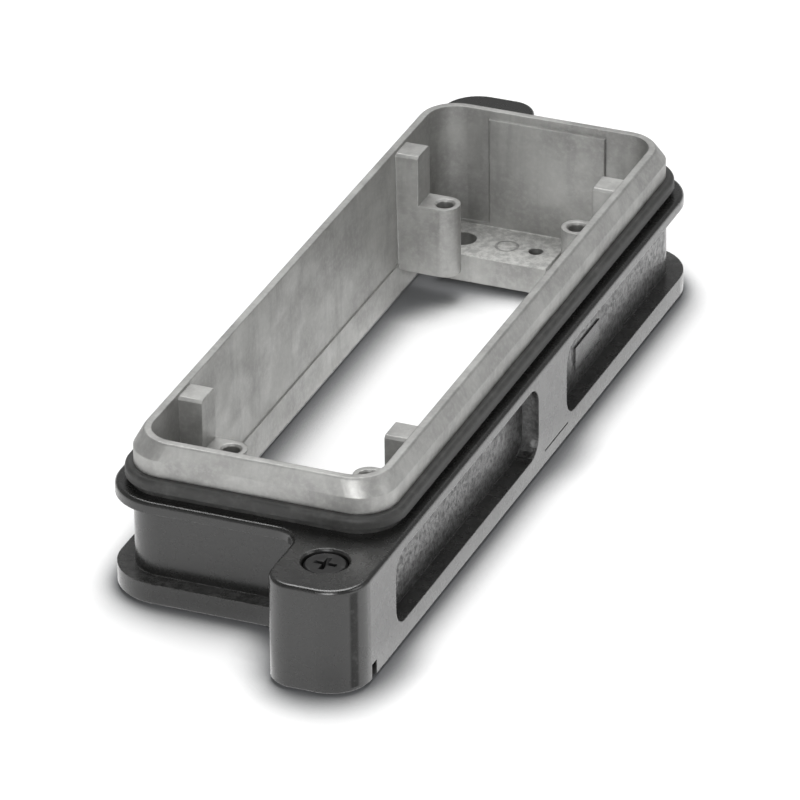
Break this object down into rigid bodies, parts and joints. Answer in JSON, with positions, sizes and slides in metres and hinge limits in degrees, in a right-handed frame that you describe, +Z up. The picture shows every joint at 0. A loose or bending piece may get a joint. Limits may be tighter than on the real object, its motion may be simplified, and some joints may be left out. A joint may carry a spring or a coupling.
{
  "type": "heavy duty rectangular connector",
  "caption": "Rectangular die-cast connector housing frame with a sealed collar, threaded insert seats and captive screws in diagonal bosses.",
  "frame": {"origin": "centre of the base plane", "axes": "+Z up from the base to the collar's rim, +Y along the long side away from the front screw, +X across"},
  "size_m": [0.0576, 0.1924, 0.0312],
  "materials": {
    "cast_body": "satin",
    "seal_rubber": "matte",
    "screw_steel": "satin",
    "ring_plastic": "matte"
  },
  "bodies": {
    "housing": {"housing_casting": "cast_body", "collar_gasket": "seal_rubber", "base_gasket": "seal_rubber", "front_retaining_ring": "ring_plastic", "rear_retaining_ring": "ring_plastic"},
    "front_washer": {"front_spring_washer": "screw_steel"},
    "front_screw": {"front_fixing_screw": "screw_steel"},
    "rear_washer": {"rear_spring_washer": "screw_steel"},
    "rear_screw": {"rear_fixing_screw": "screw_steel"}
  },
  "joints": [
    {"name": "front_screw_travel", "type": "slide", "parent": "housing", "child": "front_washer", "axis": [0, 0, -1], "range_m": [0, 0.0068]},
    {"name": "front_screw_turn", "type": "hinge", "parent": "front_washer", "child": "front_screw", "pos_m": [0.01895, -0.08565, 0], "axis": [0, 0, 1], "continuous": true},
    {"name": "rear_screw_travel", "type": "slide", "parent": "housing", "child": "rear_washer", "axis": [0, 0, -1], "range_m": [0, 0.0068]},
    {"name": "rear_screw_turn", "type": "hinge", "parent": "rear_washer", "child": "rear_screw", "pos_m": [-0.01895, 0.08565, 0], "axis": [0, 0, 1], "continuous": true}
  ]
}
